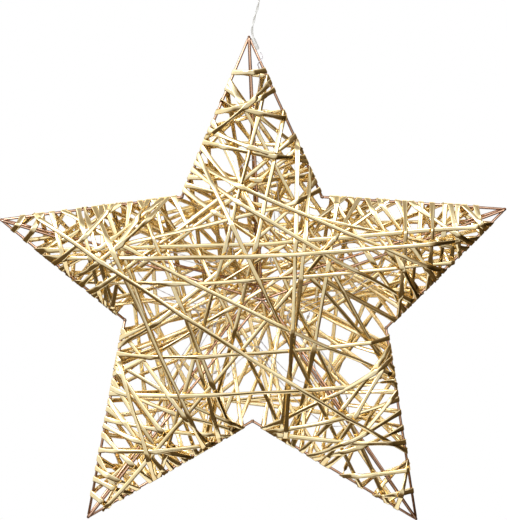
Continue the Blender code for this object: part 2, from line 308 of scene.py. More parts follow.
def add_rest(mesh, places):
    """Keep each corner's place on the straightened piece, which the patterns in its material follow."""
    kept = mesh.attributes.new("rest", "FLOAT_VECTOR", "POINT")
    kept.data.foreach_set("vector", [value for place in places for value in place])


def rest_of_tube(lines, radius, sides):
    """Places on the straightened tube for the rings of swept lines."""
    places = []
    for line in lines:
        for along in distances(line):
            for side in range(sides):
                angle = math.tau * side / sides
                places.append((math.cos(angle) * radius, math.sin(angle) * radius, along))
    return places


def tube_piece(name, lines, radius, sides):
    mesh = swept(name, lines, radius, sides)
    add_rest(mesh, rest_of_tube(lines, radius, sides))
    return mesh


def scale_ring(mesh, ring, sides, middle, share):
    """Draw one ring of a swept mesh in towards its middle."""
    for corner in range(ring * sides, (ring + 1) * sides):
        vertex = mesh.vertices[corner]
        vertex.co = middle + (vertex.co - middle) * share


def mesh_from(shape, name):
    """Finish a bmesh as a mesh with its faces outwards, whose patterns follow its corners' places."""
    bmesh.ops.recalc_face_normals(shape, faces=shape.faces)
    places = [tuple(vertex.co) for vertex in shape.verts]
    mesh = bpy.data.meshes.new(name)
    shape.to_mesh(mesh)
    shape.free()
    add_rest(mesh, places)
    return mesh


def place_piece(name, mesh, material, nodes=()):
    """Put a finished piece in the scene, riding on the part, in place of its nodes."""
    piece = bpy.data.objects.new(name, mesh)
    bpy.context.scene.collection.objects.link(piece)
    mesh.materials.clear()
    mesh.materials.append(material)
    mesh.polygons.foreach_set("use_smooth", [True] * len(mesh.polygons))
    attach(piece, "root")
    if nodes:
        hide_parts(*nodes)
    return piece


# Materials

# Colours beside each finish's main one: cloud is its faint clouding, edge shade is painted shade where it
# is seen at a low angle, and glint tints its highlights
COPPER_CLOUD = (0.63, 0.36, 0.22)
COPPER_MARK = (0.42, 0.21, 0.13)
COPPER_EDGE_SHADE = (0.15, 0.09, 0.06)
COPPER_GLINT = (0.45, 0.30, 0.22)
GOLD_CLOUD = (0.93, 0.76, 0.41)
GOLD_DENT = (0.80, 0.60, 0.28)
GOLD_EDGE_SHADE = (0.52, 0.33, 0.11)
GOLD_GLINT = (0.80, 0.62, 0.34)
SILVER_CLOUD = (0.58, 0.55, 0.60)
CLEAR_RESIN = (0.95, 0.95, 0.92)
PALE_TIN = (0.70, 0.66, 0.62)
DARK_TIN = (0.50, 0.44, 0.38)
CLEAR_IOR = 1.5
LOW_LIGHT = (1.0, 0.62, 0.20)
WHITE = (1.0, 1.0, 1.0)


class Value:
    """A shader socket that can stand in a sum."""

    def __init__(self, paint, socket):
        self.paint = paint
        self.socket = socket

    def _with(self, operation, other, swapped=False):
        pair = (other, self) if swapped else (self, other)
        return self.paint.node("Math", {"operation": operation}, dict(enumerate(pair)))[0]

    def __add__(self, other):
        return self._with("ADD", other)

    def __radd__(self, other):
        return self._with("ADD", other, True)

    def __sub__(self, other):
        return self._with("SUBTRACT", other)

    def __rsub__(self, other):
        return self._with("SUBTRACT", other, True)

    def __mul__(self, other):
        return self._with("MULTIPLY", other)

    def __rmul__(self, other):
        return self._with("MULTIPLY", other, True)


class Made:
    """A shader node whose outputs are picked by name or number."""

    def __init__(self, paint, node):
        self.paint = paint
        self.node = node

    def __getitem__(self, key):
        return Value(self.paint, self.node.outputs[key])


class Paint:
    """A node tree for a material or the world."""

    def __init__(self, tree):
        self.tree = tree
        self.tree.nodes.clear()

    def node(self, kind, settings=None, sockets=None):
        """Add a node: first its settings, then the values or links of its sockets."""
        made = self.tree.nodes.new("ShaderNode" + kind)
        for key, value in (settings or {}).items():
            if key == "stops":
                ramp = made.color_ramp
                while len(ramp.elements) < len(value):
                    ramp.elements.new(0.5)
                for element, (place, colour) in zip(ramp.elements, value):
                    element.position = place
                    element.color = colour
            else:
                setattr(made, key, value)
        for key, value in (sockets or {}).items():
            if isinstance(value, Value):
                self.tree.links.new(value.socket, made.inputs[key])
            else:
                made.inputs[key].default_value = value
        return Made(self, made)

    def mix(self, share, first, second):
        """Two colours mixed by a share."""
        return self.node("Mix", {"data_type": "RGBA"}, {0: share, 6: first, 7: second})[2]

    def rest(self, scale=(1.0, 1.0, 1.0)):
        """Places on the straightened piece, stretched by a scale."""
        read = self.node("Attribute", {"attribute_name": "rest"})["Vector"]
        return self.node("VectorMath", {"operation": "MULTIPLY"}, {0: read, 1: scale})[0]

    def noise(self, places, scale, detail=2.0, roughness=0.5):
        sockets = {"Vector": places, "Scale": scale, "Detail": detail, "Roughness": roughness}
        return self.node("TexNoise", None, sockets)[0]

    def span(self, value, low, high, to_low=0.0, to_high=1.0):
        """A value between low and high spread over another range, and held at its ends."""
        sockets = {"Value": value, "From Min": low, "From Max": high, "To Min": to_low, "To Max": to_high}
        return self.node("MapRange", None, sockets)[0]

    def sides(self, low, high):
        """Nought where a surface is seen square on, and one where it is seen at a low angle: the mask of
        the painted edge shade.
        """
        return self.span(self.node("LayerWeight", None, {"Blend": 0.5})["Facing"], low, high)

    def bump(self, height, depth, strength=1.0):
        return self.node("Bump", None, {"Height": height, "Distance": depth, "Strength": strength})[0]


def new_material(name, sockets_of):
    """A material whose Principled shader takes its sockets from a function of its paint."""
    material = bpy.data.materials.new(name)
    material.use_nodes = True
    paint = Paint(material.node_tree)
    shader = paint.node("BsdfPrincipled", None, sockets_of(paint))
    paint.node("OutputMaterial", None, {"Surface": shader[0]})
    return material


def rgba(colour, dim=1.0):
    return (colour[0] * dim, colour[1] * dim, colour[2] * dim, 1.0)


def copper_paint(wires):
    """Rose copper plating on drawn wire: fine lengthwise lines, cloudy tint, small rubbed marks and painted
    shade where it is seen at a low angle.
    """

    def sockets(paint):
        lines = paint.noise(paint.rest((1.0, 1.0, 0.03)), 2600.0, 3.0, 0.6)
        cloud = paint.noise(paint.rest(), 90.0, 3.0)
        marks = paint.span(paint.noise(paint.rest(), 420.0, 4.0, 0.65), 0.60, 0.72)
        tint = paint.mix(paint.span(cloud, 0.35, 0.68), rgba(wires.colour), rgba(COPPER_CLOUD))
        worn = paint.mix(marks * 0.55, tint, rgba(COPPER_MARK))
        return {
            # Painted shade: the copper darkens towards the wire's edges, where it is seen at a low angle
            "Base Color": paint.mix(paint.sides(0.06, 0.46), worn, rgba(COPPER_EDGE_SHADE)),
            "Specular Tint": rgba(COPPER_GLINT),
            "Metallic": 1.0,
            "Roughness": wires.roughness + lines * 0.10 + marks * 0.18,
            "Normal": paint.bump(lines + marks * -0.6, 0.00002, 0.5),
        }

    return new_material("rose_copper", sockets)


def bead_paint(wires):
    """Weld bead under the same plating, rougher and darker."""

    def sockets(paint):
        grain = paint.noise(paint.rest(), 1300.0, 4.0, 0.6)
        return {
            "Base Color": paint.mix(grain, rgba(wires.colour, 0.32), rgba(wires.colour, 0.56)),
            "Metallic": 1.0,
            "Roughness": 0.30 + grain * 0.25,
            "Normal": paint.bump(grain, 0.00012, 0.8),
        }

    return new_material("copper_bead", sockets)


def gold_paint(tube):
    """Metallised soft plastic: a clear shine, faint lengthwise wrinkles, deeper gold in its dents and
    painted shade where it is seen at a low angle.
    """

    def sockets(paint):
        wrinkle = paint.noise(paint.rest((1.0, 1.0, 0.12)), 900.0, 3.0, 0.55)
        dents = paint.noise(paint.rest((1.0, 1.0, 0.5)), 240.0, 2.0)
        cloud = paint.noise(paint.rest((0.3, 0.3, 1.0)), 26.0, 3.0)
        tint = paint.mix(paint.span(cloud, 0.38, 0.64), rgba(tube.colour), rgba(GOLD_CLOUD))
        dented = paint.mix(paint.span(dents, 0.50, 0.72) * 0.35, tint, rgba(GOLD_DENT))
        return {
            "Specular Tint": rgba(GOLD_GLINT),
            # Painted shade: the gold darkens towards the tube's edges, where it is seen at a low angle
            "Base Color": paint.mix(paint.sides(0.30, 0.85) * 0.62, dented, rgba(GOLD_EDGE_SHADE)),
            "Metallic": 1.0,
            "Roughness": tube.roughness + paint.span(wrinkle, 0.3, 0.7, 0.0, 0.08),
            "Normal": paint.bump(wrinkle + dents * 1.5, 0.00012, 0.55),
        }

    return new_material("gold_plastic", sockets)


def string_paint(string):
    """Silver wire under clear lacquer, with a faint lilac cast."""

    def sockets(paint):
        cloud = paint.noise(paint.rest(), 220.0, 3.0)
        return {
            "Base Color": paint.mix(cloud, rgba(string.colour), rgba(SILVER_CLOUD)),
            "Metallic": 0.75,
            "Roughness": paint.span(cloud, 0.3, 0.7, 0.25, 0.42),
            "Normal": paint.bump(paint.noise(paint.rest(), 3000.0), 0.00002, 0.4),
        }

    return new_material("lacquered_silver", sockets)


def resin_paint():
    """Clear resin, a little uneven."""

    def sockets(paint):
        waves = paint.noise(paint.rest(), 700.0, 2.0)
        return {
            "Base Color": rgba(CLEAR_RESIN),
            "Roughness": paint.span(waves, 0.3, 0.7, 0.03, 0.12),
            "IOR": CLEAR_IOR,
            "Transmission Weight": 0.9,
            "Normal": paint.bump(waves, 0.0001, 0.5),
        }

    return new_material("clear_resin", sockets)


def sheath_paint(lead):
    """Clear soft sheath over the lead's strands, slightly milky."""

    def sockets(paint):
        haze = paint.noise(paint.rest(), 500.0, 3.0)
        return {
            "Base Color": paint.mix(haze, rgba(lead.colour), rgba(lead.colour, 0.86)),
            "Roughness": paint.span(haze, 0.3, 0.7, 0.10, 0.24),
            "IOR": CLEAR_IOR,
            "Transmission Weight": 0.30,
            "Normal": paint.bump(haze, 0.00005, 0.4),
        }

    return new_material("clear_sheath", sockets)


def core_paint():
    """Tinned copper, for the cores in the sheath and the chips in the bulbs."""

    def sockets(paint):
        lay = paint.noise(paint.rest((1.0, 1.0, 0.2)), 2400.0, 2.0)
        return {
            "Base Color": paint.mix(lay, rgba(PALE_TIN), rgba(DARK_TIN)),
            "Metallic": 1.0,
            "Roughness": 0.30 + lay * 0.15,
        }

    return new_material("tinned_core", sockets)


def floor_paint(stage):
    """Pale matt floor with the faintest clouding."""

    def sockets(paint):
        place = paint.node("TexCoord")["Object"]
        cloud = paint.noise(place, 1.4, 4.0)
        return {
            "Base Color": paint.mix(cloud, rgba(stage.floor_colour), rgba(stage.floor_colour, 0.96)),
            "Roughness": paint.span(cloud, 0.3, 0.7, 0.65, 0.8),
        }

    return new_material("pale_floor", sockets)


# The welded frame

ROD_SIDES = 16
VALLEY_CUT = 0.0012  # an edge wire stops this far short of its solid's end, inside the valley's bead
HAIRPIN_REACH = 0.004  # straight stretch at either end of a ridge wire's bend
HAIRPIN_STEPS = 3

# A rounded wire end: rings at these shares of the radius from the end, and the first ring's size
END_CUTS = (0.0, 0.12, 0.35, 0.7)
END_FACE = 0.25

# Weld beads: size beside the usual bead, how far each sits in or out, and what picks its lumps
TIP_BEAD, TIP_LUMPS = 0.75, 3.1
VALLEY_BEAD_IN, VALLEY_LUMPS = 0.0008, 7.7
HUB_BEAD, HUB_BEAD_OUT, HUB_LUMPS = 0.95, 0.0026, 5.3
LUMPS_PER_METRE = 900
LUMP_HEIGHT = 0.18


def edge_line(node):
    """An edge wire's two ends, the one at the star's tip first."""
    line = node_line(node, WIRE_NODE_SIDES)
    line.sort(key=lambda point: -(point - STAR_MIDDLE).length)
    return line[0], line[-1]


def wire_with_round_ends(name, line, radius):
    """A wire along a line, its two ends rounded off."""
    start, end = (line[1] - line[0]).normalized(), (line[-1] - line[-2]).normalized()
    rounded = [line[0] + start * radius * share for share in END_CUTS]
    rounded += line[1:-1]
    rounded += [line[-1] - end * radius * share for share in reversed(END_CUTS)]
    mesh = tube_piece(name, [rounded], radius, ROD_SIDES)
    shrink = [math.sqrt(1 - (1 - share) ** 2) for share in END_CUTS]
    shrink[0] = END_FACE
    for ring, share in enumerate(shrink):
        for number in (ring, len(rounded) - 1 - ring):
            scale_ring(mesh, number, ROD_SIDES, rounded[number], share)
    return mesh


def ridge_line(node, wires):
    """A ridge wire's line: front hub, over the tip in a tight bend, and back to the rear hub."""
    line = node_line(node, WIRE_NODE_SIDES)
    if line[0].y > line[-1].y:
        line.reverse()
    front = (line[0] - line[1]).normalized()
    back = (line[-1] - line[-2]).normalized()
    bend = [line[1] + front * HAIRPIN_REACH] + line[1:-1] + [line[-2] + back * HAIRPIN_REACH]
    ends = line[0] + front * wires.hub_overlap, line[-1] + back * wires.hub_overlap
    return [ends[0]] + curved(bend, HAIRPIN_STEPS) + [ends[1]]


def bead_shape(shape, place, radius, lumps):
    """Add one weld bead to a bmesh, with the lumps that a number picks."""
    made = bmesh.ops.create_icosphere(shape, subdivisions=3, radius=radius)
    for vertex in made["verts"]:
        lump = noise.noise(vertex.co * LUMPS_PER_METRE + Vector((lumps, 0, 0)))
        vertex.co = place + vertex.co * (1 + LUMP_HEIGHT * lump)


class STAR_OT_wires(bpy.types.Operator):
    """Make the fifteen wires of the frame"""

    bl_idname = "star.wires"
    bl_label = "Frame wires"

    def execute(self, context):
        wires = context.scene.star_wires
        copper = copper_paint(wires)
        for number, node in enumerate(EDGE_NODES, 1):
            tip, valley = edge_line(node)
            run = (tip - valley).normalized()
            line = [tip + run * wires.tip_reach, (tip + valley) / 2, valley - run * VALLEY_CUT]
            mesh = wire_with_round_ends(f"edge_rod_{number}", line, wires.radius)
            place_piece(f"edge_rod_{number}", mesh, copper, [node])
        for number, node in enumerate(RIDGE_NODES, 1):
            line = ridge_line(node, wires)
            mesh = wire_with_round_ends(f"ridge_rod_{number}", line, wires.radius)
            place_piece(f"ridge_rod_{number}", mesh, copper, [node])
        return {"FINISHED"}


class STAR_OT_beads(bpy.types.Operator):
    """Make the weld beads where the wires meet"""

    bl_idname = "star.beads"
    bl_label = "Weld beads"

    def execute(self, context):
        wires = context.scene.star_wires
        shape = bmesh.new()
        for number, node in enumerate(EDGE_NODES):
            tip, valley = edge_line(node)
            run = (tip - valley).normalized()
            bead_shape(shape, tip + run * wires.tip_reach, wires.bead * TIP_BEAD, number * TIP_LUMPS)
            bead_shape(shape, valley - run * VALLEY_BEAD_IN, wires.bead, number * VALLEY_LUMPS)
        for number, node in enumerate(RIDGE_NODES):
            line = node_line(node, WIRE_NODE_SIDES)
            for end, before in ((line[0], line[1]), (line[-1], line[-2])):
                run = (end - before).normalized()
                lumps = number * HUB_LUMPS + end.y
                bead_shape(shape, end + run * HUB_BEAD_OUT, wires.bead * HUB_BEAD, lumps)
        place_piece("weld_beads", mesh_from(shape, "weld_beads"), bead_paint(wires))
        return {"FINISHED"}


# The gold tube

# Turns round the edge wires: the solids' distance from the wire's middle, and the finished tube's
ROUND_EDGE = 0.00488
ROUND_MISS = 0.00015
PAST_WIRE = 0.003
EDGE_ARC = 0.0018
LOWERED = 0.0011  # the finished tube's bends lie this much nearer to the frame than the solids'

# Angles from straight out of the star at which a turn's contact with its wire ends
LEAST_CONTACT = math.radians(40)
DEEP_CONTACT = math.radians(85)
FREE_END_ANGLE = 0.2
MOST_SLANT = 0.9  # a turn moves along its wire by at most this share of its way round it
LEAST_INWARD = 0.004  # a turn's neighbour counts as at least this far in from it

# The finished line: how it is stepped, and how far a bend reaches, at least and for each radian
ARC_STEPS = 8
SPAN_STEP = 0.011
LEAST_STEP = 0.0004
BEND_REACH = 0.0026
BEND_SPREAD = 0.009
BEND_SHARE = 0.45  # and at most this share of the straight run on either side
BEND_BOW = 0.18  # how far a bend bows out, as a share of its reach
LEAST_BEND = 0.02  # the tube isn't pressed flat by a slighter bend
BEND_STEPS = ((0.3, 7), (0.06, 5))  # a bend of more than so many radians has so many points

# The tube's section
TUBE_SIDES = 14
SECTION_WIDE, SECTION_THICK = 0.9, 0.8  # powers that square the round section off, across and out
REST_RADIUS = 0.0017  # of the straightened tube, which the material's pattern follows
PRESS_RATE = 2.4  # how flat a bend presses the tube, for each radian
PRESS_REACH = (0.004, 0.014)  # the pressing fades over a length drawn between these
MOST_LEAN = 0.55
ALWAYS_FLAT = (0.05, 0.2)  # flatness away from the bends: the middle and spread of its draw
MOST_ALWAYS_FLAT = 0.4
FREE_SPAN = 0.03  # a stretch this long can lean and flatten fully
PATTERN_SHIFT = 90.0  # a length of tube starts up to this far along the pattern

# Small waves: how many for each metre, and how much they change the width, thickness and line
WAVE_RATE, WAVE_WIDTH, WAVE_THICKNESS = 45, 0.10, 0.22
DRIFT_RATE, DRIFT = 22, 0.0011

# The second length of tube, which fills the gaps that the first one leaves
SECOND_TURNS = 86
FIRST_PLACES = range(30, 150)  # millimetres from the tip, for its first turn
MOST_TRIES = 800
ENOUGH_FITTING = 7  # the best of this many fitting places is taken
VALLEY_ROOM = 0.008
HUB_ROOM = 0.020
WALL_PAST_VALLEY = 0.004  # runs also keep clear of this much beyond an edge wire's end
INNER_ENDS = (0.02, 0.98)  # shares of a run between which it may cross no edge wire

# Room between turns on a wire: the least, and the room below which a place counts as crowded, at
# this many metres of missed length for each metre that is short
TURN_ROOM = 0.0044
GOOD_ROOM = 0.0085
CROWDING = 12.0

# For each arm: how readily the second tube turns there, and how far it stays from the arm's tip
ARM_RULES = {
    "top": (0.50, 0.095),
    "left": (1.2, 0.014),
    "right": (1.2, 0.014),
    "lower left": (3.0, 0.014),
    "lower right": (1.9, 0.014),
}

# The runs: how they are chosen, and how they lie over the ridge wires and the runs in their way
WANTED_SPANS = (0.10, 0.28, 0.18, 0.35, 0.13, 0.24)  # lengths looked for, in turn
LEAST_SLANT = 0.42  # sine of the least angle between a run and an edge wire that it turns round
LEAST_SINE = 0.02  # runs that are nearer to parallel than this don't cross
OVER_RIDGE = 0.0026  # height of a run's middle above the ridge wire's that it bears on
OVER_PASS = 0.0024  # the same above another run
TIP_DEPTH = 0.003  # height of a ridge wire's middle at its tip
CROSSING_REACH = 0.0018  # half the length that a run stays up over one that it crosses squarely
MOST_CROSSING_REACH = 0.010
LAYING_ROUNDS = 8
SAME_PLACE = 0.0008  # bends that are nearer than this along a run become one
SLACK = 0.0001

# Heights of the arms' tips above the star's middle: the top arm's is over the first of these, and
# the two lower arms' are under the second
TOP_ARM = 0.18
LOWER_ARMS = -0.10


def flat(point):
    """A point as the star's front view has it."""
    return Vector((point.x, point.z))


class EdgeWire:
    """One edge wire's line, and the way out of the star from it."""

    def __init__(self, node):
        self.tip, self.valley = edge_line(node)
        self.run = (self.valley - self.tip).normalized()
        self.length = (self.valley - self.tip).length
        away = (self.tip + self.valley) / 2 - STAR_MIDDLE
        away.y = 0.0
        self.out = (away - self.run * away.dot(self.run)).normalized()
        self.taken = []

    def at(self, point):
        """Distance along the wire and distance off its middle."""
        along = (point - self.tip).dot(self.run)
        return along, (point - self.tip - self.run * along).length

    def arm(self):
        """Name of the arm that the wire belongs to."""
        height = self.tip.z - STAR_MIDDLE.z
        if height > TOP_ARM:
            return "top"
        side = "left" if self.tip.x < STAR_MIDDLE.x else "right"
        return "lower " + side if height < LOWER_ARMS else side

    def place(self, along):
        return self.tip + self.run * along

    def room(self, along):
        """Distance from a place on the wire to the nearest turn round it."""
        return min((abs(along - other) for other in self.taken), default=self.length)


class Turn:
    """One turn of the tube round an edge wire."""

    def __init__(self, wire, along, start, end):
        self.wire = wire
        self.along = along
        self.start = start
        self.end = end
        self.middle = wire.place(along)

    def contact(self, point, side):
        """Angle at which a taut run to a point leaves the wire, from straight out of the star."""
        inward = -(point - self.middle).dot(self.wire.out)
        height = abs(point.y)
        reach = math.hypot(inward, height)
        if inward <= 0 or reach <= EDGE_ARC:
            return side * DEEP_CONTACT
        lean = math.pi - math.atan2(height, inward) - math.acos(EDGE_ARC / reach)
        return side * max(lean, LEAST_CONTACT)

    def slant(self, point, leaving):
        """How fast the tube moves along the wire where it meets the run to a point."""
        offset = point - self.middle
        inward = max(-offset.dot(self.wire.out), LEAST_INWARD)
        slope = offset.dot(self.wire.run) / math.hypot(inward, offset.y)
        return max(-MOST_SLANT, min(MOST_SLANT, slope if leaving else -slope))

    def line(self, before, after):
        """Points round the wire with the way out at each."""
        first = self.contact(before, self.start) if before else self.start * FREE_END_ANGLE
        last = self.contact(after, self.end) if after else self.end * FREE_END_ANGLE
        come = self.slant(before, False) if before else 0.0
        go = self.slant(after, True) if after else 0.0
        arc = abs(last - first) * EDGE_ARC
        found = []
        for step in range(ARC_STEPS + 1):
            t = step / ARC_STEPS
            angle = first + (last - first) * t
            shift = arc * (come * (t**3 - 2 * t**2 + t) + go * (t**3 - t**2))
            out = self.wire.out * math.cos(angle) + Vector((0, math.sin(angle), 0))
            found.append((self.middle + out * EDGE_ARC + self.wire.run * shift, out))
        return found


def whole_tube():
    """The tube's line from its first end to its last, as the solids have it."""
    lines = [node_line(node, TUBE_NODE_SIDES) for node in TUBE_NODES]
    next_ends = (lines[1][0], lines[1][-1])
    gaps = [min((own - end).length for end in next_ends) for own in (lines[0][0], lines[0][-1])]
    if gaps[0] < gaps[1]:
        lines[0].reverse()
    route = list(lines[0])
    for line in lines[1:]:
        if (line[-1] - route[-1]).length < (line[0] - route[-1]).length:
            line.reverse()
        route += line
    return route


def first_stations(wires):
    """The first tube's turns round the edge wires, with the bends of the runs between them."""
    found = []
    for point in whole_tube():
        near = None
        for wire in wires:
            along, off = wire.at(point)
            beside = -PAST_WIRE < along < wire.length + PAST_WIRE
            if beside and abs(off - ROUND_EDGE) < ROUND_MISS:
                near = (wire, along)
        if near is None:
            found.append(point - Vector((0, math.copysign(LOWERED, point.y), 0)))
            continue
        side = math.copysign(1.0, point.y)
        if found and isinstance(found[-1], Turn) and found[-1].wire is near[0]:
            found[-1].end = side
        else:
            found.append(Turn(near[0], near[1], side, side))
            near[0].taken.append(near[1])
    return found


class Run:
    """A taut run of tube over one side of the star, with its height along it."""

    def __init__(self, start, end, side):
        self.start = flat(start)
        self.end = flat(end)
        self.side = side
        self.length = (self.end - self.start).length
        self.way = (self.end - self.start) / self.length
        self.heights = [(0.0, EDGE_ARC), (self.length, EDGE_ARC)]

    def height(self, distance):
        """Height of the run above the star's middle plane at a distance along it."""
        for (a, low), (b, high) in zip(self.heights, self.heights[1:]):
            if distance <= b:
                return low + (high - low) * max(distance - a, 0) / max(b - a, 1e-6)
        return self.heights[-1][1]

    def meets(self, start, end):
        """Distances along this run and another line where they cross and the sine between them, or None."""
        way = (end - start).normalized()
        turn = self.way.cross(way)
        if abs(turn) < LEAST_SINE:
            return None
        offset = start - self.start
        mine, other = offset.cross(way) / turn, offset.cross(self.way) / turn
        if 0 < mine < self.length and 0 < other < (end - start).length:
            return mine, other, abs(turn)
        return None

    def pull_tight(self, needs):
        """Let the run bear only on the needs that hold it up."""
        heights = []
        for distance, height in sorted(needs):
            if heights and distance - heights[-1][0] < SAME_PLACE:
                height = max(height, heights.pop()[1])
            while len(heights) > 1:
                (a, low), (b, mid) = heights[-2:]
                if mid > low + (height - low) * (b - a) / (distance - a) + SLACK:
                    break
                heights.pop()
            heights.append((distance, height))
        self.heights = heights

    def lay(self, ridges, laid):
        """Find the run's heights over the ridge wires and over the runs that are in its way."""
        needs = [(0.0, EDGE_ARC), (self.length, EDGE_ARC)]
        for hub, tip, depth in ridges:
            met = self.meets(hub, tip)
            if met:
                share = met[1] / (tip - hub).length
                needs.append((met[0], depth * (1 - share) + TIP_DEPTH * share + OVER_RIDGE))
        met_runs = [(run, self.meets(run.start, run.end)) for run in laid]
        crossed = [(run, run.height(met[1]), *met) for run, met in met_runs if met]
        for _ in range(LAYING_ROUNDS):
            self.pull_tight(needs)
            blocked = [c for c in crossed if abs(self.height(c[2]) - c[1]) < OVER_PASS - SLACK]
            if not blocked:
                break
            for run, _, mine, other, sine in blocked:
                reach = min(CROSSING_REACH / sine, MOST_CROSSING_REACH)
                for shift in (-reach, 0.0, reach):
                    if 0 < mine + shift < self.length:
                        level = run.height(other + shift * self.way.dot(run.way))
                        needs.append((mine + shift, level + OVER_PASS))

    def points(self):
        """The bends of the run, in the star."""
        found = []
        for distance, height in self.heights[1:-1]:
            place = self.start + self.way * distance
            found.append(Vector((place.x, self.side * height, place.y)))
        return found


def runs_of(stations):
    """The runs between the turns of a tube."""
    runs, bends, last = [], [], None
    for item in stations:
        if not isinstance(item, Turn):
            bends.append(item)
            continue
        if last is not None:
            run = Run(last.middle, item.middle, last.end)
            middle = [((flat(bend) - run.start).dot(run.way), abs(bend.y)) for bend in bends]
            run.heights = [run.heights[0], *middle, run.heights[-1]]
            runs.append(run)
        last, bends = item, []
    return runs


class Outline:
    """The star's outline in its front view."""

    def __init__(self, wires):
        self.wires = wires
        past = [wire.place(wire.length + WALL_PAST_VALLEY) for wire in wires]
        self.walls = [(flat(wire.tip), flat(end)) for wire, end in zip(wires, past)]
        self.middle = flat(STAR_MIDDLE)
        ridge = node_line(RIDGE_NODES[0], WIRE_NODE_SIDES)
        self.hub = flat(min(ridge, key=lambda point: point.y))
        self.rules = [ARM_RULES[wire.arm()] for wire in wires]

    def holds(self, first, second):
        """Whether a straight run between two turns stays within the star, clear of the front hub."""
        start, end = flat(first.middle), flat(second.middle)
        way = (end - start).normalized()
        if first.end < 0 and abs((self.hub - start).cross(way)) < HUB_ROOM:
            return False
        for turn in (first, second):
            if abs(way.dot(flat(turn.wire.out))) < LEAST_SLANT:
                return False
        inner = [start.lerp(end, share) for share in INNER_ENDS]
        for wire, wall in zip(self.wires, self.walls):
            if intersect_line_line_2d(*inner, *wall) is not None:
                return False
            valley = wall[1] - start
            beside = 0 < valley.dot(way) < (end - start).length
            near = abs(valley.cross(way)) < VALLEY_ROOM
            if beside and near and wire not in (first.wire, second.wire):
                return False
        centre = start.lerp(end, 0.5)
        return all(intersect_line_line_2d(self.middle, centre, *wall) is None for wall in self.walls)


def next_turn(outline, last, wanted, side, chance):
    """A free place on another edge wire that a run of about the wanted length can go to."""
    best, fitting = None, 0
    readiness = [share for share, _ in outline.rules]
    for _ in range(MOST_TRIES):
        number = chance.choices(range(len(outline.wires)), readiness)[0]
        wire = outline.wires[number]
        along = chance.uniform(outline.rules[number][1], wire.length - VALLEY_ROOM)
        room = wire.room(along)
        if wire is last.wire or room < TURN_ROOM:
            continue
        turn = Turn(wire, along, side, -side)
        if not outline.holds(last, turn):
            continue
        miss = abs((turn.middle - last.middle).length - wanted)
        miss += CROWDING * max(0.0, GOOD_ROOM - room)
        if best is None or miss < best[0]:
            best = (miss, turn)
        fitting += 1
        if fitting == ENOUGH_FITTING:
            break
    if best is None:
        raise ValueError("the second tube has nowhere to go")
    return best[1]


def second_stations(wires, first, chance):
    """The second tube's turns and bends, laid where the first tube leaves room."""
    outline = Outline(wires)
    ridges = []
    for node in RIDGE_NODES:
        line = node_line(node, WIRE_NODE_SIDES)
        hub, tip = line[0], line[len(line) // 2]
        ridges.append((flat(hub), flat(tip), abs(hub.y)))
    laid = runs_of(first)
    wire = wires[0]
    along = next(place / 1000 for place in FIRST_PLACES if wire.room(place / 1000) > TURN_ROOM)
    turn = Turn(wire, along, -1.0, -1.0)
    wire.taken.append(along)
    found = [turn]
    for number in range(SECOND_TURNS):
        side = turn.end
        wanted = WANTED_SPANS[number % len(WANTED_SPANS)]
        following = next_turn(outline, turn, wanted, side, chance)
        following.wire.taken.append(following.along)
        run = Run(turn.middle, following.middle, side)
        run.lay(ridges, [other for other in laid if other.side == side])
        laid.append(run)
        found += run.points() + [following]
        turn = following
    return found


def bent(before, point, after):
    """A short bend at a point of a run, with the way out at its middle, and how far it turns."""
    come, go = point - before, after - point
    out = come.normalized() - go.normalized()
    turn = out.length
    free = BEND_REACH + BEND_SPREAD * min(turn, 1.0)
    reach = min(free, come.length * BEND_SHARE, go.length * BEND_SHARE)
    point = point + out * reach * BEND_BOW
    a = point - (point - before).normalized() * reach
    b = point + (after - point).normalized() * reach
    out = out.normalized() if turn > LEAST_BEND else None
    steps = next((points for least, points in BEND_STEPS if turn > least), 1)
    line = []
    for step in range(steps):
        t = (step + 0.5) / steps
        place = a * (1 - t) ** 2 + point * 2 * t * (1 - t) + b * t**2
        line.append((place, out if step == steps // 2 else None))
    return line, turn


class TubeLine:
    """The finished line of the tube: its points, and the spots where it is pressed flat."""

    def __init__(self, stations):
        self.points = []
        self.spots = []
        middles = [item.middle if isinstance(item, Turn) else item for item in stations]
        for index, item in enumerate(stations):
            before = middles[index - 1] if index else None
            after = middles[index + 1] if index + 1 < len(stations) else None
            if isinstance(item, Turn):
                for step, (point, out) in enumerate(item.line(before, after)):
                    self.add(point, out if step % (ARC_STEPS // 2) == 0 else None, 1.0)
            else:
                bend, turn = bent(before, item, after)
                for point, out in bend:
                    self.add(point, out, min(1.0, turn * PRESS_RATE))

    def add(self, point, out, share):
        """Run on to a point, and mark it where the tube is pressed flat by a share."""
        if self.points and (point - self.points[-1]).length < LEAST_STEP:
            return
        if self.points:
            start = self.points[-1]
            steps = int((point - start).length / SPAN_STEP)
            self.points += [start.lerp(point, (step + 1) / (steps + 1)) for step in range(steps)]
        self.points.append(point)
        if out is not None:
            self.spots.append((len(self.points) - 1, out, share))


def section_frames(line, places, chance):
    """Way out, lean and flatness of the tube's section at each point of its line."""
    spots = [(places[index], out, share) for index, out, share in line.spots]
    leans = [chance.uniform(-MOST_LEAN, MOST_LEAN) for _ in spots]
    reaches = [(chance.uniform(*PRESS_REACH), chance.uniform(*PRESS_REACH)) for _ in spots]
    always = [max(0.0, chance.gauss(*ALWAYS_FLAT)) for _ in spots]
    frames, here = [], 0
    for place in places:
        while here + 2 < len(spots) and spots[here + 1][0] < place:
            here += 1
        (a, out_a, share_a), (b, out_b, share_b) = spots[here], spots[here + 1]
        part = min(max((place - a) / max(b - a, 1e-6), 0.0), 1.0)
        free = min(1.0, (b - a) / FREE_SPAN)
        out = out_a.lerp(out_b, part * part * (3 - 2 * part))
        pressed = max(
            share_a * math.exp(-(((place - a) / reaches[here][0]) ** 2)),
            share_b * math.exp(-(((b - place) / reaches[here][1]) ** 2)),
            min(always[here], MOST_ALWAYS_FLAT) * free,
        )
        frames.append((out, leans[here] * math.sin(part * math.pi) * free, pressed))
    return frames


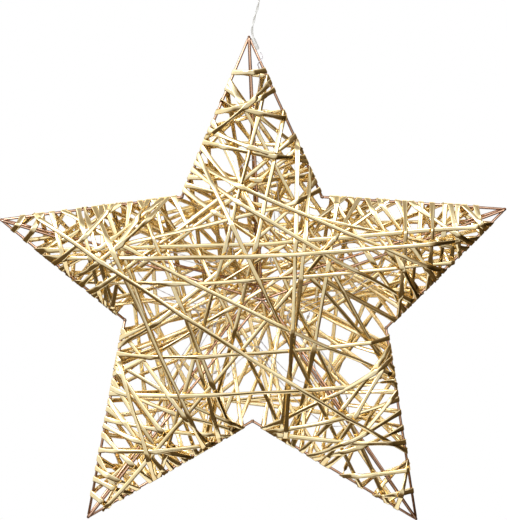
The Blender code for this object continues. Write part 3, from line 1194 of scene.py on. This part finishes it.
def section_corners(point, side, out, width, thick):
    """Corners of the tube's section, a circle pressed to a rounded flat."""
    corners = []
    for corner in range(TUBE_SIDES):
        angle = math.tau * corner / TUBE_SIDES
        across = math.copysign(abs(math.cos(angle)) ** SECTION_WIDE, math.cos(angle)) * width / 2
        up = math.copysign(abs(math.sin(angle)) ** SECTION_THICK, math.sin(angle)) * thick / 2
        corners.append(point + side * across + out * up)
    return corners


def make_tube(name, stations, tube, paint, chance, nodes):
    """One length of gold tube along its turns and bends, flattened where it bears on a wire."""
    line = TubeLine(stations)
    places = distances(line.points)
    mesh = swept(name, [line.points], tube.width / 2, TUBE_SIDES)
    rings = len(line.points)
    if len(mesh.vertices) != rings * TUBE_SIDES:
        raise ValueError(f"{name} has an unexpected number of corners")
    shift = chance.uniform(0.0, PATTERN_SHIFT)
    corners, rest = [], []
    for index, (out, lean, pressed) in enumerate(section_frames(line, places, chance)):
        point = line.points[index]
        run = (line.points[min(index + 1, rings - 1)] - line.points[max(index - 1, 0)]).normalized()
        out = (out - run * out.dot(run)).normalized()
        out = Matrix.Rotation(lean, 3, run) @ out
        side = run.cross(out)
        along = places[index] + shift
        wave = noise.noise(Vector((along * WAVE_RATE, 3.7, 0.0)))
        width = tube.width * (1 + WAVE_WIDTH * wave) * (1 - pressed) + tube.flat_width * pressed
        thick = tube.thickness * (1 - WAVE_THICKNESS * wave) * (1 - pressed)
        thick += tube.flat_thickness * pressed
        drift_x = noise.noise(Vector((along * DRIFT_RATE, 0.0, 5.1)))
        drift_z = noise.noise(Vector((along * DRIFT_RATE, 8.3, 0.0)))
        point = point + Vector((drift_x, 0.0, drift_z)) * DRIFT * (1 - min(pressed, 1.0))
        corners += section_corners(point, side, out, width, thick)
        for corner in range(TUBE_SIDES):
            angle = math.tau * corner / TUBE_SIDES
            rest.append((math.cos(angle) * REST_RADIUS, math.sin(angle) * REST_RADIUS, along))
    mesh.vertices.foreach_set("co", [value for corner in corners for value in corner])
    add_rest(mesh, rest)
    return place_piece(name, turned_out(mesh), paint, nodes)


class STAR_OT_tube(bpy.types.Operator):
    """Make the two lengths of gold tube that are wound over the frame"""

    bl_idname = "star.tube"
    bl_label = "Gold tube"

    def execute(self, context):
        tube = context.scene.star_tube
        chance = random.Random(tube.seed)
        paint = gold_paint(tube)
        wires = [EdgeWire(node) for node in EDGE_NODES]
        first = first_stations(wires)
        second = second_stations(wires, first, chance)
        make_tube("gold_tube", first, tube, paint, chance, TUBE_NODES)
        make_tube("gold_tube_second", second, tube, paint, chance, ())
        return {"FINISHED"}


# The light string

STRING_NODE_SIDES = 4
STRAND_SIDES = 6
STRAND_LAY = 1.05  # the strands' distance from the string's line, in strand radii
STRING_STEPS = 4
BULB_SWELL = 1.4  # the solid is this many times its usual width at a bulb
BULBS_APART = 0.012
BULB_SIDES, BULB_RINGS = 16, 10
BULB_SHAPE = (1.0, 0.85, 1.5, 1.0)
CHIP_SIZE = 0.0009
CHIP_SHAPE = (1.0, 0.5, 1.4, 1.0)


def bulb_spots(middles, widths):
    """Where each bulb sits on the string, turned so that its own Z runs along the wire."""
    usual = sorted(widths)[len(widths) // 2]
    places, spots = [], []
    for index, width in enumerate(widths):
        place = middles[index]
        near = places and (place - places[-1]).length <= BULBS_APART
        if near or width <= usual * BULB_SWELL:
            continue
        run = (middles[min(index + 2, len(middles) - 1)] - place).normalized()
        turn = run.to_track_quat("Z", "Y").to_matrix().to_4x4()
        places.append(place)
        spots.append(Matrix.Translation(place) @ turn)
    return spots


class STAR_OT_string(bpy.types.Operator):
    """Make the fine twisted wire inside the star and its resin bulbs"""

    bl_idname = "star.string"
    bl_label = "Light string"

    def execute(self, context):
        string = context.scene.star_string
        middles, widths = node_rings("light_string", STRING_NODE_SIDES)
        line = curved(middles, STRING_STEPS)
        reach = string.strand * STRAND_LAY
        strands = [twisted(line, reach, string.twist, phase) for phase in (0.0, math.pi)]
        mesh = tube_piece("light_string_wire", strands, string.strand, STRAND_SIDES)
        place_piece("light_string_wire", mesh, string_paint(string), ["light_string"])
        bulbs, chips = bmesh.new(), bmesh.new()
        for spot in bulb_spots(middles, widths):
            bmesh.ops.create_uvsphere(
                bulbs, u_segments=BULB_SIDES, v_segments=BULB_RINGS, radius=string.bulb,
                matrix=spot @ Matrix.Diagonal(BULB_SHAPE),
            )
            bmesh.ops.create_cube(chips, size=CHIP_SIZE, matrix=spot @ Matrix.Diagonal(CHIP_SHAPE))
        place_piece("resin_bulbs", mesh_from(bulbs, "resin_bulbs"), resin_paint())
        place_piece("bulb_chips", mesh_from(chips, "bulb_chips"), core_paint())
        return {"FINISHED"}


# The lead, its sleeve, knot and loop

SHEATH_SIDES = 12
CORE_SIDES = 8
CORE_SHARE = 0.42  # a core's thickness beside its sheath's
ROUTE_STEPS = 8
LOOP_STEPS = 3
KNOT_STEPS = 72
KNOT_CORD = 0.42  # the knot's cord has this share of the lead's width as its radius
KNOT_WIDTH, KNOT_HEIGHT = 0.75, 0.66  # how much of its solid the knot's line spans
SLEEVE_SIDES = 20
SLEEVE_STEPS = 16
SLEEVE_RADIUS = 0.0022
SLEEVE_SHIFT = Vector((-0.0026, -0.0006, 0.0028))  # from its solid to over the edge wire
SLEEVE_TAPER, SLEEVE_RIPPLE, RIPPLE_RATE = 0.22, 0.03, 21


def two_core(name, line, lead):
    """Sheath and cores of two strands twisted along a line."""
    strand = lead.diameter / 4
    strands = [twisted(line, strand, lead.twist, phase) for phase in (0.0, math.pi)]
    sheath = tube_piece(name, strands, strand, SHEATH_SIDES)
    return sheath, tube_piece(name + "_cores", strands, strand * CORE_SHARE, CORE_SIDES)


class STAR_OT_lead(bpy.types.Operator):
    """Make the clear lead with its sleeve, knot and hanging loop"""

    bl_idname = "star.lead"
    bl_label = "Lead"

    def execute(self, context):
        lead = context.scene.star_lead
        sheath, core = sheath_paint(lead), core_paint()
        route = curved(LEAD_ROUTE, ROUTE_STEPS)
        outer, inner = two_core("lead_strands", route, lead)
        cable = place_piece("lead_strands", outer, sheath, ["lead"])
        cores = place_piece("lead_cores", inner, core)
        ring = node_line("hanging_loop", WIRE_NODE_SIDES)
        outer, inner = two_core("loop_strands", curved(ring, LOOP_STEPS), lead)
        loop = place_piece("loop_strands", outer, sheath, ["hanging_loop"])
        loop_cores = place_piece("loop_cores", inner, core)
        knot = self.knot(lead, sheath)
        self.sleeve(sheath)
        distances(route)[-1]
        return {"FINISHED"}

    def knot(self, lead, sheath):
        """An overhand knot, drawn tight."""
        low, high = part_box("lead_knot")
        middle, half = (low + high) / 2, (high - low) / 2
        turns = []
        for step in range(KNOT_STEPS):
            angle = math.tau * step / KNOT_STEPS
            reach = 2 + math.cos(3 * angle)
            x = reach * math.cos(2 * angle) / 3 * half.x * KNOT_WIDTH
            y = reach * math.sin(2 * angle) / 3 * half.y * KNOT_WIDTH
            z = math.sin(3 * angle) * half.z * KNOT_HEIGHT
            turns.append(middle + Vector((x, y, z)))
        line = turns + [turns[0]]
        mesh = tube_piece("drawn_knot", [line], lead.diameter * KNOT_CORD, SHEATH_SIDES)
        return place_piece("drawn_knot", mesh, sheath, ["lead_knot"])

    def sleeve(self, sheath):
        """A clear sleeve shrunk over the wire and the lead, drawn in at its ends."""
        line = node_line("lead_sleeve", SLEEVE_NODE_SIDES)
        run = line[-1] - line[0]
        shares = [step / SLEEVE_STEPS for step in range(SLEEVE_STEPS + 1)]
        route = [line[0] + SLEEVE_SHIFT + run * share for share in shares]
        mesh = tube_piece("shrunk_sleeve", [route], SLEEVE_RADIUS, SLEEVE_SIDES)
        for ring, share in enumerate(shares):
            taper = 1 - SLEEVE_TAPER * (2 * share - 1) ** 4
            size = taper + SLEEVE_RIPPLE * math.sin(share * RIPPLE_RATE)
            scale_ring(mesh, ring, SLEEVE_SIDES, route[ring], size)
        return place_piece("shrunk_sleeve", mesh, sheath, ["lead_sleeve"])


# Camera, floor and light

AIM_SHIFT = Vector((0.0017, 0.0, 0.0413))  # from the star's middle to what the view is centred on

# The soft lights: place, width and height, and power
SOFTBOXES = {
    "left_softbox": ((-1.6, -1.9, 0.9), (1.3, 1.1), 26),
    "right_softbox": ((1.0, -1.9, 1.5), (0.7, 0.9), 12),
    "back_softbox": ((0.2, 2.2, 0.8), (1.6, 1.0), 9),
}


def view_way(stage):
    """Direction in which the camera looks."""
    level = math.cos(stage.elevation)
    x, y = math.sin(stage.azimuth) * level, math.cos(stage.azimuth) * level
    return Vector((x, y, -math.sin(stage.elevation)))


def add_softbox(name, place, aim, size, power):
    """A soft light that looks at a point."""
    light = bpy.data.lights.new(name, "AREA")
    light.shape = "RECTANGLE"
    light.size, light.size_y = size
    light.energy = power
    lamp = bpy.data.objects.new(name, light)
    bpy.context.scene.collection.objects.link(lamp)
    lamp.location = place
    lamp.rotation_euler = (Vector(aim) - Vector(place)).to_track_quat("-Z", "Y").to_euler()


def light_world():
    """A white room: bright overhead, dark low down and far to the right, and seen as plain white."""
    world = bpy.data.worlds.new("white_room")
    bpy.context.scene.world = world
    world.use_nodes = True
    paint = Paint(world.node_tree)
    way = paint.node("SeparateXYZ", None, {0: paint.node("TexCoord")["Generated"]})
    behind = paint.span(way["Y"], -0.1, 0.5, 0.76, 0.95)
    raised = paint.span(way["Z"], -0.52, -0.18, 0.13, 1.0)
    overhead = paint.span(way["Z"], 0.12, 0.5, 1.0, 2.4)
    top = paint.span(way["Z"], 0.58, 0.9, 1.0, 0.24)
    left = paint.span(way["X"], -0.75, -0.25, 1.25, 1.0)
    right = paint.span(way["X"], 0.56, 0.80, 1.0, 0.12)
    level = behind * raised * (overhead * top) * left * right
    tint = paint.mix(paint.span(level, 0.0, 0.65), rgba(LOW_LIGHT), rgba(WHITE))
    seen = paint.node("LightPath")["Is Camera Ray"]
    room = paint.node("Background", None, {"Color": tint, "Strength": level})[0]
    plain = paint.node("Background", None, {"Color": rgba(WHITE), "Strength": 1.0})[0]
    both = paint.node("MixShader", None, {0: seen, 1: room, 2: plain})[0]
    paint.node("OutputWorld", None, {"Surface": both})


class STAR_OT_stage(bpy.types.Operator):
    """Set up the camera, the pale floor and the soft light"""

    bl_idname = "star.stage"
    bl_label = "Camera, floor and light"

    def execute(self, context):
        scene = context.scene
        stage = scene.star_stage
        scene.view_settings.view_transform = "Standard"
        camera = bpy.data.cameras.new("camera")
        camera.lens = camera.sensor_width * stage.distance / stage.view_height
        camera.clip_end = 100.0
        seat = bpy.data.objects.new("camera", camera)
        scene.collection.objects.link(seat)
        look = view_way(stage)
        aim = STAR_MIDDLE + AIM_SHIFT
        seat.location = aim - look * stage.distance
        seat.rotation_euler = look.to_track_quat("-Z", "Y").to_euler()
        scene.camera = seat
        self.floor(scene, stage)
        light_world()
        for name, (place, size, power) in SOFTBOXES.items():
            add_softbox(name, place, STAR_MIDDLE, size, power)
        return {"FINISHED"}

    def floor(self, scene, stage):
        shape = bmesh.new()
        bmesh.ops.create_grid(
            shape, x_segments=1, y_segments=1, size=stage.floor_size / 2,
            matrix=Matrix.Translation((0.0, 0.0, -stage.floor_depth)),
        )
        mesh = bpy.data.meshes.new("floor")
        shape.to_mesh(mesh)
        shape.free()
        mesh.materials.append(floor_paint(stage))
        ground = bpy.data.objects.new("floor", mesh)
        scene.collection.objects.link(ground)


OPERATORS = (
    STAR_OT_stage,
    STAR_OT_lead,
    STAR_OT_wires,
    STAR_OT_beads,
    STAR_OT_tube,
    STAR_OT_string,
)


class STAR_PT_pieces(bpy.types.Panel):
    """Lists the steps that make the star"""

    bl_label = "Star"
    bl_idname = "STAR_PT_pieces"
    bl_space_type = "VIEW_3D"
    bl_region_type = "UI"
    bl_category = "Star"

    def draw(self, context):
        for step in OPERATORS:
            self.layout.operator(step.bl_idname)


def register():
    for kind in (*GROUPS.values(), *OPERATORS, STAR_PT_pieces):
        bpy.utils.register_class(kind)
    for name, kind in GROUPS.items():
        setattr(bpy.types.Scene, name, bpy.props.PointerProperty(type=kind))


def unregister():
    for name in GROUPS:
        delattr(bpy.types.Scene, name)
    for kind in (STAR_PT_pieces, *reversed(OPERATORS), *GROUPS.values()):
        bpy.utils.unregister_class(kind)


def main():
    register()
    bpy.ops.star.stage()
    bpy.ops.star.lead()
    bpy.ops.star.wires()
    bpy.ops.star.beads()
    bpy.ops.star.tube()
    bpy.ops.star.string()


if __name__ == "__main__":
    main()
